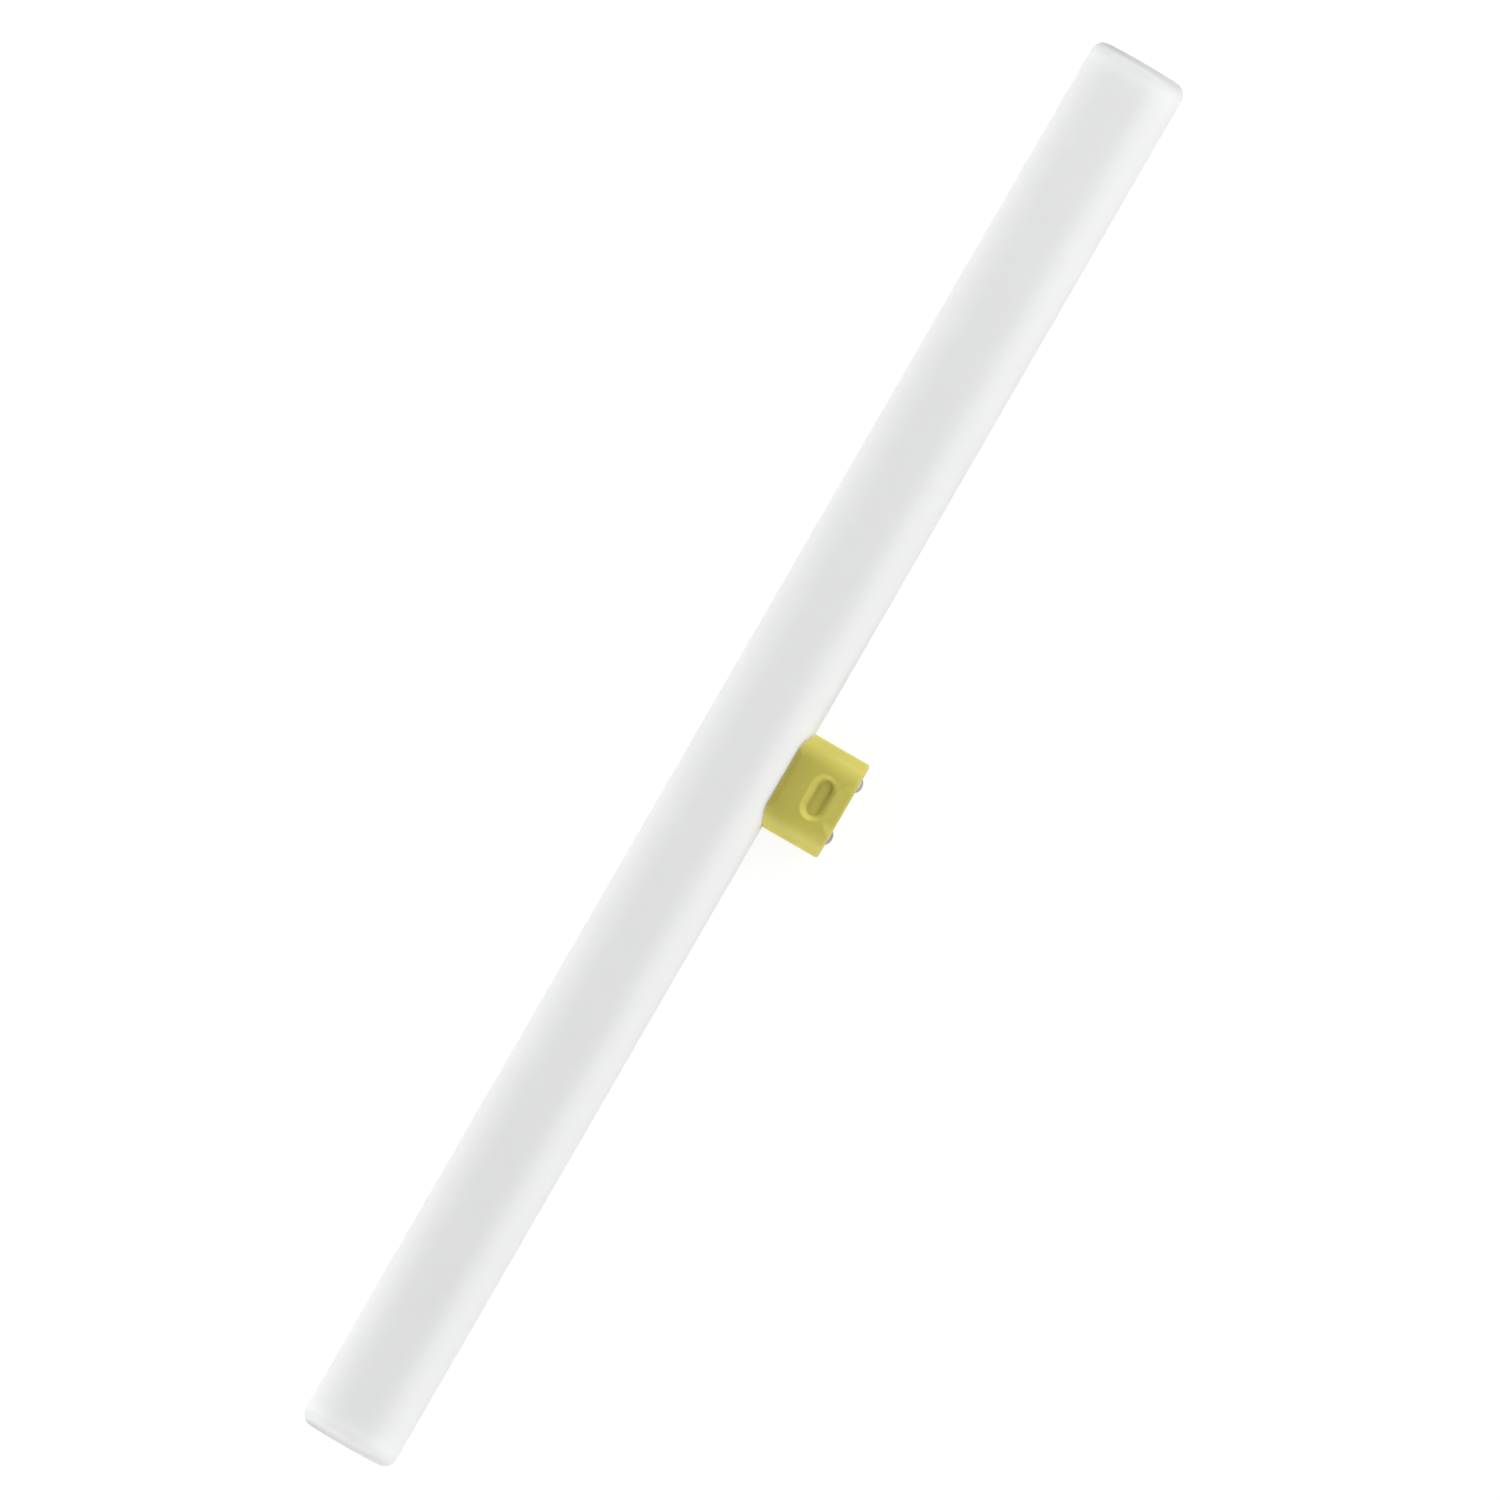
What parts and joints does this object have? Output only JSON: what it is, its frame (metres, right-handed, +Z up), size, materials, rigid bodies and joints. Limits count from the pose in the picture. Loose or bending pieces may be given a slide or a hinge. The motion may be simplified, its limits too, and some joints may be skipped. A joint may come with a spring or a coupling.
{
  "type": "tubular light bulb",
  "caption": "Long opal glass tube lamp with one flat-sided plastic cap at the middle of its side, with latch recesses, lead-in ramps and domed contacts.",
  "frame": {"origin": "middle of the lamp's footprint, on the surface that the lamp lies on", "axes": "+X along the tube, -Y towards the cap, +Z up; the lamp lies on its tube and on the cap's outer rim"},
  "size_m": [0.5, 0.0534, 0.0327],
  "materials": {
    "opal_glass": "satin opal, gives no view inside",
    "yellow_plastic": "satin moulded plastic",
    "cement": "matt cement",
    "contact_metal": "nickel plated",
    "tag_metal": "plain sheet",
    "lead_metal": "drawn wire",
    "sleeve": "woven glass sleeving"
  },
  "bodies": {
    "root": {"opal_tube": "opal_glass", "cap_body": "yellow_plastic", "cement_bead": "cement", "contact_left": "contact_metal", "contact_right": "contact_metal", "contact_tag_left": "tag_metal", "contact_tag_right": "tag_metal", "lead_wire_left": "lead_metal", "lead_wire_right": "lead_metal", "lead_sleeve_left": "sleeve", "lead_sleeve_right": "sleeve"}
  },
  "joints": []
}
